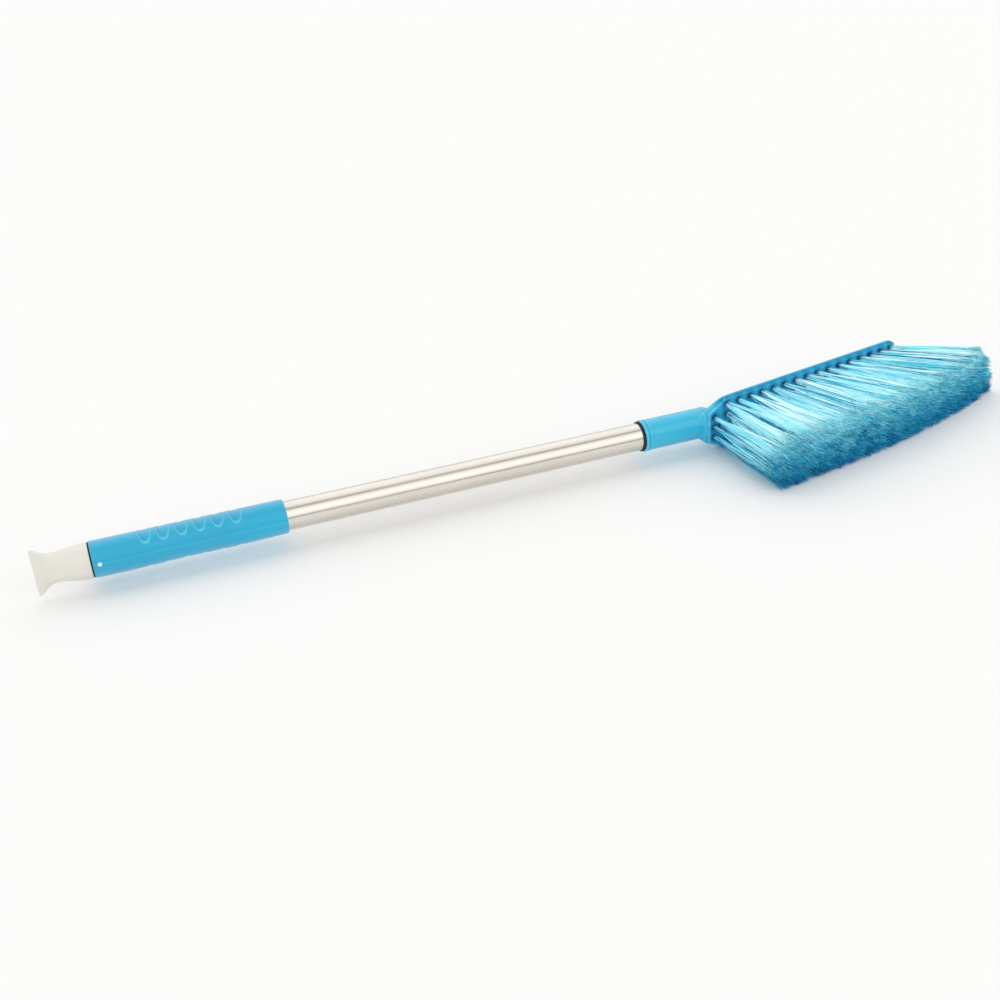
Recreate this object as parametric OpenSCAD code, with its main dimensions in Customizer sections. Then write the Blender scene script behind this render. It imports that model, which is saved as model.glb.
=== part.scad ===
// Telescopic snow brush with an ice scraper on the butt of its grip.
// The pole lies along X, with the scraper at -X and the brush head at +X.
// The tool lies on its side: the bristles point towards -Y, and the block's width runs along Z.
// The origin is on the pole's axis, where the bare tube leaves the grip.

/* [Pole] */
// Length of the grip sleeve
grip_l = 158; // [150:1:180]
// Outside diameter of the grip sleeve
grip_d = 30.6; // [30:0.1:33]
// Length of bare tube between the grip and the guide bush's flange
bare_l = 326.5; // [318:0.5:400]
// Outside diameter of the outer tube
outer_d = 25; // [24.8:0.1:25.2]
// Wall of the outer tube
outer_wall = 0.8; // [0.7:0.05:0.9]
// Outside diameter of the inner tube
inner_d = 22; // [21.6:0.1:22]
// Wall of the inner tube
inner_wall = 0.7; // [0.6:0.05:0.9]
// Distance that the inner tube slides out
slide_travel = 300; // [260:5:300]

/* [Finger pockets] */
// Number of oval pockets along each side of the grip
pocket_count = 6; // [3:1:6]
// Distance between neighbouring pockets
pocket_pitch = 15.2; // [13:0.1:16]
// Width of a pocket along the grip
pocket_w = 10.4; // [8:0.1:11]
// Length of a pocket round the grip
pocket_l = 25; // [18:0.5:26]
// Depth of a pocket
pocket_deep = 0.6; // [0.3:0.1:0.8]
// Distance from the butt to the middle of the first pocket
pocket_start = 41; // [35:1:50]

/* [Scraper] */
// Length of the scraper outside the grip
blade_l = 45; // [42:1:60]
// Width of the scraping edge
blade_w = 42; // [38:1:50]
// Thickness of the scraping edge
edge_t = 1.6; // [1.2:0.1:2.5]
// Length of the spigot inside the outer tube
spigot_l = 40; // [30:1:45]

/* [Brush head] */
// Length of the socket
socket_l = 50; // [48:1:60]
// Outside diameter of the socket
socket_d = 28.5; // [28.4:0.1:30]
// Width of the brush block
block_w = 49.7; // [48:0.1:56]
// Width of the block's nose
nose_w = 29.4; // [26:0.1:32]
// Length of the slanting shoulder behind the nose
shoulder_l = 18.1; // [14:0.1:22]
// Thickness of the block at its side
block_side_t = 7; // [6.5:0.5:9]
// Thickness of the block at its middle
block_t = 11; // [10:0.5:14]
// Angle between the block and the pole
block_tilt = 11.5; // [6:0.5:16]
// Distance from the pole's axis to the bristle face at the nose
face_drop = 15.7; // [14:0.1:18]

/* [Bristles] */
// Tufts in each long row
row_tufts = 16; // [10:1:16]
// Distance between tufts in a row
tuft_pitch = 14; // [13:0.1:15]
// Distance between rows
row_pitch = 9.83; // [9.5:0.01:10.5]
// Free length of the bristles
bristle_l = 97; // [70:1:110]
// Lean of the tufts at the nose, negative towards the grip
lean_nose = -5; // [-8:0.5:0]
// Lean of the tufts at the far end
lean_far = 45; // [20:1:48]
// Diameter of a tuft at its hole
tuft_d = 4.5; // [3.5:0.1:4.6]
// Diameter of a tuft at its tips
tip_d = 8.8; // [6:0.1:9]

/* [Twist lock] */
// Diameter of the lock's threaded stud
stud_d = 6; // [5:0.5:6]
// Length of the expander
expander_l = 40; // [36:1:44]
// Length of the guide bush inside the outer tube
bush_l = 45; // [30:1:45]
// Axial room between the cone and the expander when the lock is slack
cone_room = 1.2; // [1.2:0.1:1.6]
// Axial room between the cone and its end nut when the lock is slack
nut_room = 1.05; // [1.05:0.05:1.5]

/* [Hidden] */
$fn = 64;
fit_gap = 0.03;   // radial gap of parts that are pressed or glued together
run_gap = 0.05;   // radial gap of parts that slide or turn
bit = 0.01;       // thickness of a slice that only shapes a hull
over = 1;         // how far a cutting tool passes the face that it cuts

outer_r = outer_d / 2;
outer_bore = outer_r - outer_wall;
inner_r = inner_d / 2;
inner_bore = inner_r - inner_wall;
grip_r = grip_d / 2;
socket_r = socket_d / 2;
stud_r = stud_d / 2;

// Grip
grip_nose_l = 8;
grip_mouth_r = outer_r + 0.8;
butt_chamfer = 0.5;

// Scraper: [distance from the seam, half width along Z, half thickness along Y, squareness, shift along Y]
seam_gap = 1.3;       // room for the ring between the scraper and the sleeve
seam_r = grip_r - 0.35;
blade_sections = [
    [seam_gap, seam_r, seam_r, 2, 0],
    [0.22 * blade_l, seam_r - 0.5, seam_r - 1.2, 2, 0],
    [0.44 * blade_l, seam_r - 1.9, seam_r - 4, 2.1, 0.5],
    [0.62 * blade_l, seam_r - 2.2, seam_r - 6.9, 2.3, 0.8],
    [0.78 * blade_l, 0.75 * blade_w / 2, 0.4 * seam_r, 2.8, -0.3],
    [0.88 * blade_l, 0.87 * blade_w / 2, 0.29 * seam_r, 4, -1.5],
    [blade_l, blade_w / 2, edge_t / 2, 6, -2.5],
];
pin_d = 4;
pin_x = 0.5 * spigot_l - grip_l;

// The bush's flange caps the outer tube, and the socket stops against it when the pole is closed
bush_flange_t = 2.4;
bush_flange_r = outer_r + 1.1;
mouth_x = bare_l + bush_flange_t + 0.1;
seat_end = mouth_x + socket_l - 3;
bead_r = socket_r + 0.45;
head_screw_x = mouth_x + 0.56 * socket_l;
head_screw_r = 2;
head_screw_l = 10;

// Brush block, in its own frame: x along the block, y away from the bristles, z across
nose_x = mouth_x + socket_l + 12.5;
tuft_start = 20;
block_end_room = 6.6;
block_l = tuft_start + (row_tufts - 1) * tuft_pitch + block_end_room;
corner_r = 7;
crown_in = 6;
nose_tuft_x = 5.3;
nose_lean_extra = -1.2;
centre_shift = -0.5 * tuft_pitch;
hole_deep = 7.4;
root_deep = 6.3;
splay = 0.15;         // sideways lean of a tuft, in degrees for each row away from the middle
spine_x = seat_end + 8.5;
flare = [5, 21.8];    // thickness and width of the flare where it leaves the socket
staple = [3.9, 1.6, 0.7];

// Twist lock, from the head towards the scraper
expander_front = bare_l - bush_l - slide_travel - 0.5;
expander_back = expander_front - expander_l;
cone_mouth_r = 9.4;
cone_tip_r = 5.15;
cone_l = 20;
cone_base_l = 12;
slot_w = 2.2;
slot_l = 26;
key_w = 1.8;
plug_flange_t = 4;
plug_l = 26;
inner_back = expander_front + 0.1 + plug_flange_t;
cone_front = expander_back - cone_room + cone_l;
cone_back = expander_back - cone_room - cone_base_l;
nut_front = cone_back - nut_room;
nut_l = 5;
nut_flats = 10;
stud_front = inner_back + 0.7 * plug_l;
plug_pin_x = inner_back + 0.85 * plug_l;
plug_pin_d = 3;

// A cylinder or cone along X
module rod(x0, x1, r0, r1 = undef) {
    translate([x0, 0, 0])
        rotate([0, 90, 0])
            cylinder(h = x1 - x0, r1 = r0, r2 = is_undef(r1) ? r0 : r1);
}

// A straight tube along X
module ring(x0, x1, r_out, r_in) {
    difference() {
        rod(x0, x1, r_out);
        rod(x0 - over, x1 + over, r_in);
    }
}

// A body turned about X from [x, radius] points
module turned(points) {
    rotate([0, 90, 0])
        rotate_extrude()
            polygon([for (p = points) [p.y, p.x]]);
}

// A pin or a hole through the pole along Y
module cross_rod(x, r, reach) {
    translate([x, 0, 0])
        rotate([90, 0, 0])
            cylinder(h = 2 * reach, r = r, center = true, $fn = 32);
}

// ---- Scraper and grip ----

function power(v, p) = sign(v) * pow(abs(v), p);
function superellipse(rz, ry, square) = [
    for (a = [0 : 11.25 : 348.75]) [rz * power(cos(a), 2 / square), ry * power(sin(a), 2 / square)]
];

// One thin slice of the blade; the drawn x becomes Z, and y stays Y
module blade_slice(s) {
    translate([-grip_l - s[0], s[4], 0])
        rotate([0, -90, 0])
            linear_extrude(bit)
                polygon(superellipse(s[1], s[2], s[3]));
}

module scraper_blade() {
    color("ivory")
        difference() {
            union() {
                for (i = [0 : len(blade_sections) - 2])
                    hull() {
                        blade_slice(blade_sections[i]);
                        blade_slice(blade_sections[i + 1]);
                    }
                rod(-grip_l - seam_gap - over, spigot_l - grip_l, outer_bore - fit_gap);
            }
            cross_rod(pin_x, pin_d / 2 + fit_gap, outer_d);
        }
}

module scraper_pin() {
    color("silver")
        cross_rod(pin_x, pin_d / 2, outer_r - 0.3);
}

// Black ring on the spigot, between the scraper's shoulder and the end of the sleeve and tube
module butt_ring() {
    color("black")
        ring(bit - grip_l - seam_gap, -bit - grip_l, seam_r - 0.5, outer_bore + run_gap);
}

// A round-ended pocket across the grip's top or bottom
module finger_pocket(x) {
    half = (pocket_l - pocket_w) / 2;
    intersection() {
        ring(x - pocket_w, x + pocket_w, grip_r + over, grip_r - pocket_deep);
        translate([x, 0, 0]) {
            translate([-pocket_w / 2, -half, 0])
                cube([pocket_w, 2 * half, grip_d]);
            for (side = [-1, 1])
                translate([0, side * half, 0])
                    cylinder(h = grip_d, d = pocket_w);
        }
    }
}

module grip_sleeve() {
    outline = concat(
        [[-grip_l, outer_r + fit_gap], [-grip_l, grip_r - butt_chamfer], [butt_chamfer - grip_l, grip_r]],
        [for (a = [0 : 15 : 90]) [
            (sin(a) - 1) * grip_nose_l,
            grip_mouth_r + (grip_r - grip_mouth_r) * cos(a)
        ]],
        [[0, outer_r + fit_gap]]
    );
    color("deepskyblue")
        difference() {
            turned(outline);
            for (i = [0 : pocket_count - 1], flip = [0, 1])
                mirror([0, 0, flip])
                    finger_pocket(pocket_start + i * pocket_pitch - grip_l);
        }
}

module outer_tube() {
    color("silver")
        difference() {
            ring(-grip_l, bare_l, outer_r, outer_bore);
            cross_rod(pin_x, pin_d / 2 + fit_gap, outer_d);
        }
}

module guide_bush() {
    color("black") {
        ring(bare_l - bush_l, bare_l, outer_bore - fit_gap, inner_r + run_gap);
        turned([
            [bare_l, inner_r + run_gap], [bare_l, bush_flange_r - 0.6], [bare_l + 0.6, bush_flange_r],
            [bare_l + bush_flange_t, bush_flange_r], [bare_l + bush_flange_t, inner_r + run_gap],
        ]);
    }
}

// ---- Inner tube and twist lock ----

module inner_tube() {
    color("silver")
        difference() {
            ring(inner_back, seat_end, inner_r, inner_bore);
            cross_rod(plug_pin_x, plug_pin_d / 2 + fit_gap, inner_d);
            head_screw_hole(head_screw_r + fit_gap);
        }
}

module lock_plug() {
    color("dimgray")
        difference() {
            union() {
                rod(inner_back - plug_flange_t, inner_back, inner_r);
                rod(inner_back - over, inner_back + plug_l, inner_bore - fit_gap);
            }
            rod(inner_back - plug_flange_t - over, stud_front + over, stud_r + fit_gap);
            cross_rod(plug_pin_x, plug_pin_d / 2 + fit_gap, inner_d);
        }
}

module plug_pin() {
    color("silver")
        cross_rod(plug_pin_x, plug_pin_d / 2, inner_r - 0.25);
}

module lock_stud() {
    color("silver")
        rod(nut_front - nut_l, stud_front, stud_r);
}

module stud_nut() {
    color("silver")
        difference() {
            rotate([0, -90, 0])
                translate([0, 0, -nut_front])
                    cylinder(h = nut_l, d = nut_flats / cos(30), $fn = 6);
            rod(nut_front - nut_l - over, nut_front + over, stud_r + fit_gap);
        }
}

module lock_cone() {
    key_reach = outer_bore - 0.5;
    color("white")
        difference() {
            union() {
                rod(cone_back, cone_back + cone_base_l, cone_mouth_r);
                rod(cone_back + cone_base_l, cone_front, cone_mouth_r, cone_tip_r);
                translate([cone_back + 6, -key_reach, -key_w / 2])
                    cube([cone_base_l + 12, 2 * key_reach, key_w]);
            }
            rod(cone_back - over, cone_front + over, stud_r + run_gap);
        }
}

module lock_expander() {
    color("white")
        difference() {
            rod(expander_back, expander_front, outer_bore - run_gap);
            rod(expander_back, expander_back + cone_l, cone_mouth_r, cone_tip_r);
            rod(expander_back - over, expander_front + over, stud_r + run_gap);
            for (turn = [0, 90])
                rotate([turn, 0, 0])
                    translate([expander_back - over, -outer_d / 2, -slot_w / 2])
                        cube([slot_l + over, outer_d, slot_w]);
        }
}

// ---- Brush head ----

// Moves a child from the block's frame to the pole's frame
module on_block() {
    translate([nose_x, -face_drop, 0])
        rotate([0, 0, block_tilt])
            children();
}

// Outline of the block, drawn in inwards by a distance
function half_outline(draw_in) = concat(
    [[draw_in, nose_w / 2 - 0.6 * draw_in], [shoulder_l + 0.4 * draw_in, block_w / 2 - draw_in]],
    [for (a = [0 : 15 : 90]) [
        block_l - corner_r + (corner_r - draw_in) * sin(a),
        block_w / 2 - corner_r + (corner_r - draw_in) * cos(a)
    ]]
);
function block_outline(draw_in) = let (half = half_outline(draw_in))
    concat(half, [for (i = [len(half) - 1 : -1 : 0]) [half[i].x, -half[i].y]]);

// A slab of the block between two heights above the bristle face
module block_slab(y0, y1, draw_in) {
    translate([0, y1, 0])
        rotate([90, 0, 0])
            linear_extrude(y1 - y0)
                polygon(block_outline(draw_in));
}

// The flare's foot, which lies just inside the block's nose and shoulders
module flare_foot() {
    draw_in = 0.9;
    translate([0, block_side_t - 0.5, 0])
        rotate([90, 0, 0])
            linear_extrude(block_side_t - 2.1)
                polygon([
                    [draw_in, draw_in - nose_w / 2], [draw_in, nose_w / 2 - draw_in],
                    [shoulder_l, block_w / 2 - draw_in], [shoulder_l, draw_in - block_w / 2]
                ]);
}

module head_screw_hole(r) {
    translate([head_screw_x, 0, 0])
        rotate([-90, 0, 0])
            cylinder(h = outer_d, r = r, $fn = 32);
}

module socket_skin() {
    turned([
        [mouth_x, 0], [mouth_x, bead_r - 0.5], [mouth_x + 0.5, bead_r],
        [mouth_x + 2.5, bead_r], [mouth_x + 3.1, socket_r - 0.3], [mouth_x + 4.1, socket_r - 0.3],
        [mouth_x + 4.7, bead_r], [mouth_x + 6.4, bead_r], [mouth_x + 7, socket_r],
        [nose_x + 3, socket_r], [nose_x + 3, 0],
    ]);
}

// A slanted tuft hole, wider than its tuft by a clearance
module tuft_hole(at) {
    on_tuft(at)
        translate([0, 0, -hole_deep])
            cylinder(h = 2 * hole_deep, d = tuft_d + 2 * run_gap, $fn = 24);
}

module brush_head() {
    color("deepskyblue")
        difference() {
            union() {
                socket_skin();
                on_block()
                    hull() {
                        block_slab(0, block_side_t, 0);
                        block_slab(block_t - bit, block_t, crown_in);
                    }
                hull() {
                    translate([seat_end + 1, -9, -flare.y / 2])
                        cube([bit, flare.x, flare.y]);
                    on_block()
                        flare_foot();
                }
                hull() {
                    rod(spine_x, spine_x + bit, socket_r - 0.7, $fn = 32);
                    on_block()
                        translate([0.45 * block_l, block_t - 1.3, 0])
                            rotate([90, 0, 0])
                                cylinder(h = 3, r = 5, $fn = 32);
                }
            }
            rod(mouth_x - over, seat_end, inner_r + fit_gap);
            head_screw_hole(head_screw_r + fit_gap);
            on_block()
                for (at = all_tufts)
                    tuft_hole(at);
        }
}

module head_screw() {
    head_y = socket_r + 0.1;
    color("silver")
        translate([head_screw_x, 0, 0])
            rotate([-90, 0, 0]) {
                translate([0, 0, head_y - head_screw_l])
                    cylinder(h = head_screw_l, r = head_screw_r, $fn = 32);
                translate([0, 0, head_y])
                    intersection() {
                        cylinder(h = 2.2, r = 4);
                        translate([0, 0, -3.1])
                            sphere(5.3);
                    }
            }
}

// ---- Bristles: each tuft is one cone from its hole to its tips ----

// Row of tuft places [x, z] at one height z
function row(z, shift = 0) = [for (i = [0 : row_tufts - 1]) [tuft_start + shift + i * tuft_pitch, z]];
nose_tufts = [for (k = [-1 : 1]) [nose_tuft_x, k * row_pitch]];
centre_tufts = row(0, centre_shift);
all_tufts = concat(
    nose_tufts, centre_tufts,
    row(row_pitch), row(-row_pitch), row(2 * row_pitch), row(-2 * row_pitch)
);

// The tufts fan out: those near the far end lean away from the grip
function lean(x) = lean_nose
    + (lean_far - lean_nose) * pow(max(0, (x - nose_tuft_x) / (block_l - nose_tuft_x - block_end_room)), 1.5)
    + (x == nose_tuft_x ? nose_lean_extra : 0);

// A frame at a tuft's hole, with z out along the tuft
module on_tuft(at) {
    translate([at.x, 0, at.y])
        rotate([0, 0, lean(at.x)])
            rotate([90 - splay * at.y / row_pitch, 0, 0])
                children();
}

module tuft(at) {
    on_tuft(at)
        rotate_extrude($fn = 20)
            polygon([
                [0, -root_deep], [tuft_d / 2, -root_deep], [tuft_d / 2, 0],
                [tip_d / 2, bristle_l], [0, bristle_l]
            ]);
}

module tuft_set(places) {
    color("skyblue")
        on_block()
            for (at = places)
                tuft(at);
}

module bristles_nose() { tuft_set(nose_tufts); }
module bristles_centre() { tuft_set(centre_tufts); }
module bristles_inner_top() { tuft_set(row(row_pitch)); }
module bristles_inner_low() { tuft_set(row(-row_pitch)); }
module bristles_outer_top() { tuft_set(row(2 * row_pitch)); }
module bristles_outer_low() { tuft_set(row(-2 * row_pitch)); }

module tuft_staples() {
    color("goldenrod")
        on_block()
            for (at = all_tufts)
                on_tuft(at)
                    translate([0, 0, -root_deep - 0.1 - staple.z / 2])
                        cube(staple, center = true);
}

scraper_blade();
scraper_pin();
butt_ring();
grip_sleeve();
outer_tube();
guide_bush();
inner_tube();
lock_plug();
plug_pin();
lock_stud();
stud_nut();
lock_cone();
lock_expander();
brush_head();
head_screw();
tuft_staples();
bristles_nose();
bristles_centre();
bristles_inner_top();
bristles_inner_low();
bristles_outer_top();
bristles_outer_low();
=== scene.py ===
"""Looks of a telescopic snow brush with an ice scraper on its butt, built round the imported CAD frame.

The pole lies along X, the bristles point towards -Y, and Z is up as the tool lies on its side.
All lengths are metres. Angles round the pole start at -Y and turn towards +Z.
"""

import math

import bmesh
import bpy
import numpy as np
from mathutils import Matrix, Quaternion, Vector


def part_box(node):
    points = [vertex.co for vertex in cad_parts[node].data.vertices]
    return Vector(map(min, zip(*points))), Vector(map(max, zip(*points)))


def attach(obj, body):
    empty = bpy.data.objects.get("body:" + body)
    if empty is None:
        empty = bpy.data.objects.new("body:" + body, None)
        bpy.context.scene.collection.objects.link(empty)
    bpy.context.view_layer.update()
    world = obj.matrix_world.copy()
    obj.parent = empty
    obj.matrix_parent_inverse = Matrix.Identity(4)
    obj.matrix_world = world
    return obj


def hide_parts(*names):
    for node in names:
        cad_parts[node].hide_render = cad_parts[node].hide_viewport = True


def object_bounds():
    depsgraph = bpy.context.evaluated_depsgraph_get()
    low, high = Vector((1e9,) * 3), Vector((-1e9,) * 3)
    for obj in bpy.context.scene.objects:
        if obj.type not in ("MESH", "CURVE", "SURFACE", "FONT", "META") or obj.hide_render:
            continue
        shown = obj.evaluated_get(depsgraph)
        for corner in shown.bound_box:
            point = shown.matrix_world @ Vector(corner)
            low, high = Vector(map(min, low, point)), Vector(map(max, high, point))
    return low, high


MM = 0.001
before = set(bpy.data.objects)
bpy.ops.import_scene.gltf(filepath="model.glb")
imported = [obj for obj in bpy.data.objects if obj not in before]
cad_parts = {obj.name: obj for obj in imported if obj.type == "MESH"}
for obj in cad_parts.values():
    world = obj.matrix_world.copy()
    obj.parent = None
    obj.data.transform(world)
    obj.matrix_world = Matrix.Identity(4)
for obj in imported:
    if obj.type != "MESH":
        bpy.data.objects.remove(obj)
CAD_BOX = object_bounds()
BLUE_GRIP = (0.001, 0.405, 0.65)
BLUE_HEAD = (0.018, 0.485, 0.725)
IVORY = (0.78, 0.76, 0.695)


# ---------------------------------------------------------------- places, from the frame


def low(node):
    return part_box(node)[0]


def high(node):
    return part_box(node)[1]


BUTT_X = low("grip_sleeve").x
GRIP_END_X = high("grip_sleeve").x
GRIP_R = high("grip_sleeve").y
TUBE_R = high("outer_tube").y
BLADE_TIP_X = low("scraper_blade").x
BLADE_HALF_W = high("scraper_blade").z
SPIGOT_END_X = high("scraper_blade").x
MOUTH_X = low("brush_head").x
SEAT_END_X = high("inner_tube").x
INNER_R = high("inner_tube").y
FLOOR_Z = CAD_BOX[0].z


def welded_islands(node):
    """Vertex arrays of a CAD node's separate solids, in the row frame."""
    bm = bmesh.new()
    bm.from_mesh(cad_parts[node].data)
    bmesh.ops.remove_doubles(bm, verts=bm.verts, dist=1e-6)
    islands, seen = [], set()
    for start in bm.verts:
        if start.index in seen:
            continue
        seen.add(start.index)
        stack, found = [start], []
        while stack:
            vert = stack.pop()
            found.append(vert.co[:])
            for edge in vert.link_edges:
                other = edge.other_vert(vert)
                if other.index not in seen:
                    seen.add(other.index)
                    stack.append(other)
        islands.append(np.array(found))
    bm.free()
    return islands


def tuft_of(points):
    """A CAD tuft's inner end, its outer end, and its radius at each."""
    middle = points.mean(0)
    axis = np.linalg.svd(points - middle, full_matrices=False)[2][0]
    along = (points - middle) @ axis
    ends = []
    for end in (along.min(), along.max()):
        ring = points[np.abs(along - end) < 0.2 * MM]
        centre = middle + axis * end
        ends.append((np.linalg.norm(ring - centre, axis=1).max(), centre))
    ends.sort(key=lambda item: item[0])
    (inner_r, inner), (outer_r, outer) = ends
    return {"inner": inner, "outer": outer, "inner_r": inner_r, "outer_r": outer_r}


BRISTLE_NODES = [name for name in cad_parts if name.startswith("bristles_")]
TUFTS = {name: [tuft_of(points) for points in welded_islands(name)] for name in BRISTLE_NODES}
CENTRE_ROW = sorted(TUFTS["bristles_centre"], key=lambda tuft: tuft["inner"][0])
HOLE_DEEP = 6.3 * MM


def face_point(tuft):
    """Where a tuft leaves the bristle face."""
    axis = tuft["outer"] - tuft["inner"]
    return tuft["inner"] + axis / np.linalg.norm(axis) * HOLE_DEEP


ALONG = face_point(CENTRE_ROW[-1]) - face_point(CENTRE_ROW[0])
TILT = math.atan2(ALONG[1], ALONG[0])


def block_frame():
    """Matrix from the block's frame (x along it, y away from the bristles, z across) to the row frame."""
    turn = Matrix.Rotation(TILT, 4, "Z")
    points = np.array([v.co[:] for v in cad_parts["brush_head"].data.vertices])
    start = face_point(CENTRE_ROW[0])
    local = (points - start) @ np.array(turn.to_3x3())
    on_face = local[np.abs(local[:, 1]) < 0.05 * MM]
    nose = Vector(start) + turn @ Vector((on_face[:, 0].min(), 0, 0))
    return Matrix.Translation(nose) @ turn, on_face - [on_face[:, 0].min(), 0, 0]


BLOCK, FACE_POINTS = block_frame()
BLOCK_L = FACE_POINTS[:, 0].max()
BLOCK_HALF_W = FACE_POINTS[:, 2].max()
NOSE_HALF_W = FACE_POINTS[FACE_POINTS[:, 0] < 0.1 * MM][:, 2].max()
SHOULDER_X = FACE_POINTS[FACE_POINTS[:, 2] > BLOCK_HALF_W - 0.05 * MM][:, 0].min()


# ---------------------------------------------------------------- mesh helpers


def place(name, mesh, body, material, replaced=()):
    """Makes a mesh a visible piece that rides on a body, in place of CAD nodes where any are named."""
    mesh.materials.clear()
    mesh.materials.append(material)
    mesh.shade_smooth()
    piece = bpy.data.objects.new(name, mesh)
    bpy.context.scene.collection.objects.link(piece)
    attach(piece, body)
    if replaced:
        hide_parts(*replaced)
    return piece


def join_rings(ring_count, side_count, first=0, closed=False):
    """Quads between neighbouring rings; closed joins the last ring to the first."""
    faces = []
    for i in range(ring_count if closed else ring_count - 1):
        here, there = first + i * side_count, first + (i + 1) % ring_count * side_count
        for j in range(side_count):
            k = (j + 1) % side_count
            faces.append((here + j, here + k, there + k, there + j))
    return faces


def loft(rings):
    """A closed body through rings of equal point counts, with a flat cap at each end."""
    count, sides = len(rings), len(rings[0])
    faces = join_rings(count, sides)
    faces.append(tuple(range(sides))[::-1])
    faces.append(tuple(range((count - 1) * sides, count * sides)))
    return np.concatenate(rings), faces


def revolve(profile, sides):
    """A ring-shaped body round X from a closed profile of (x, radius) points."""
    turn = np.linspace(0, 2 * math.pi, sides, endpoint=False)
    rings = [np.column_stack([np.full(sides, x), -r * np.cos(turn), r * np.sin(turn)]) for x, r in profile]
    return np.concatenate(rings), join_rings(len(profile), sides, closed=True)


def mesh_of(name, verts, faces):
    """A mesh from points and faces, with its normals turned outwards."""
    mesh = bpy.data.meshes.new(name)
    mesh.from_pydata([tuple(v) for v in verts], [], [tuple(f) for f in faces])
    bm = bmesh.new()
    bm.from_mesh(mesh)
    bmesh.ops.recalc_face_normals(bm, faces=bm.faces)
    bm.to_mesh(mesh)
    bm.free()
    return mesh


def write_value(mesh, key, values):
    """Stores one number for each vertex, for a material to read."""
    attribute = mesh.attributes.new(key, "FLOAT", "POINT")
    attribute.data.foreach_set("value", np.asarray(values, np.float32))


def baked(base, *modifiers):
    """A mesh after modifiers, each given as (type, {setting: value})."""
    work = bpy.data.objects.new("work", base)
    bpy.context.scene.collection.objects.link(work)
    for kind, settings in modifiers:
        modifier = work.modifiers.new(kind, kind)
        for key, value in settings.items():
            setattr(modifier, key, value)
    bpy.context.view_layer.update()
    result = bpy.data.meshes.new_from_object(work.evaluated_get(bpy.context.evaluated_depsgraph_get()))
    bpy.data.objects.remove(work)
    return result


def carved(base, tool, operation):
    """Boolean of two closed meshes."""
    other = bpy.data.objects.new("tool", tool)
    bpy.context.scene.collection.objects.link(other)
    result = baked(base, ("BOOLEAN", {"object": other, "operation": operation, "solver": "MANIFOLD"}))
    bpy.data.objects.remove(other)
    return result


def smoothstep(t):
    t = np.clip(t, 0, 1)
    return t * t * (3 - 2 * t)


def spline(at, knots, values):
    """Smooth curve through (knot, value) pairs, with slopes from the neighbours."""
    knots, values = np.asarray(knots, float), np.asarray(values, float)
    slopes = np.gradient(values, knots)
    i = np.clip(np.searchsorted(knots, at) - 1, 0, len(knots) - 2)
    h = knots[i + 1] - knots[i]
    t = (at - knots[i]) / h
    a, b = 2 * t**3 - 3 * t**2 + 1, t**3 - 2 * t**2 + t
    c, d = 3 * t**2 - 2 * t**3, t**3 - t**2
    return a * values[i] + b * h * slopes[i] + c * values[i + 1] + d * h * slopes[i + 1]


# ---------------------------------------------------------------- materials


class Nodes:
    """Short way to build a material's node tree."""

    def __init__(self, name):
        self.material = bpy.data.materials.new(name)
        self.material.use_nodes = True
        self.tree = self.material.node_tree
        self.shader = self.tree.nodes["Principled BSDF"]
        self.output = self.tree.nodes["Material Output"]

    def add(self, kind, inputs=None, **settings):
        node = self.tree.nodes.new(kind)
        for key, value in settings.items():
            setattr(node, key, value)
        for key, value in (inputs or {}).items():
            self.feed(node, key, value)
        return node

    def feed(self, node, key, value):
        if isinstance(value, bpy.types.NodeSocket):
            self.tree.links.new(value, node.inputs[key])
        else:
            node.inputs[key].default_value = value

    def set(self, **inputs):
        for key, value in inputs.items():
            self.feed(self.shader, key.replace("_", " "), value)

    def place(self, scale=(1, 1, 1)):
        coords = self.add("ShaderNodeTexCoord")
        return self.add("ShaderNodeMapping", {"Vector": coords.outputs["Object"], "Scale": scale}).outputs[0]

    def noise(self, scale, detail=3.0, stretch=(1, 1, 1), rough=0.5):
        inputs = {"Vector": self.place(stretch), "Scale": scale, "Detail": detail, "Roughness": rough}
        return self.add("ShaderNodeTexNoise", inputs).outputs["Fac"]

    def ramp(self, value, stops):
        node = self.add("ShaderNodeValToRGB", {"Fac": value})
        while len(node.color_ramp.elements) < len(stops):
            node.color_ramp.elements.new(0.5)
        for element, (position, colour) in zip(node.color_ramp.elements, stops, strict=True):
            element.position = position
            element.color = (*colour, 1) if len(colour) == 3 else colour
        return node.outputs["Color"]

    def levels(self, value, low_in, high_in, low_out, high_out):
        """A value moved in proportion from one range to another."""
        inputs = {"Value": value, "From Min": low_in, "From Max": high_in}
        inputs.update({"To Min": low_out, "To Max": high_out})
        return self.add("ShaderNodeMapRange", inputs).outputs["Result"]

    def bump(self, height, distance, strength=1.0):
        inputs = {"Height": height, "Distance": distance, "Strength": strength}
        return self.add("ShaderNodeBump", inputs).outputs["Normal"]


def tinted(colour, factor):
    return tuple(min(1.0, c * factor) for c in colour)


def multiplied(n, first, second):
    """Product of two colours."""
    mix = n.add("ShaderNodeMix", data_type="RGBA", blend_type="MULTIPLY")
    mix.inputs[0].default_value = 1.0
    n.tree.links.new(first, mix.inputs[6])
    n.tree.links.new(second, mix.inputs[7])
    return mix.outputs[2]


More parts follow.
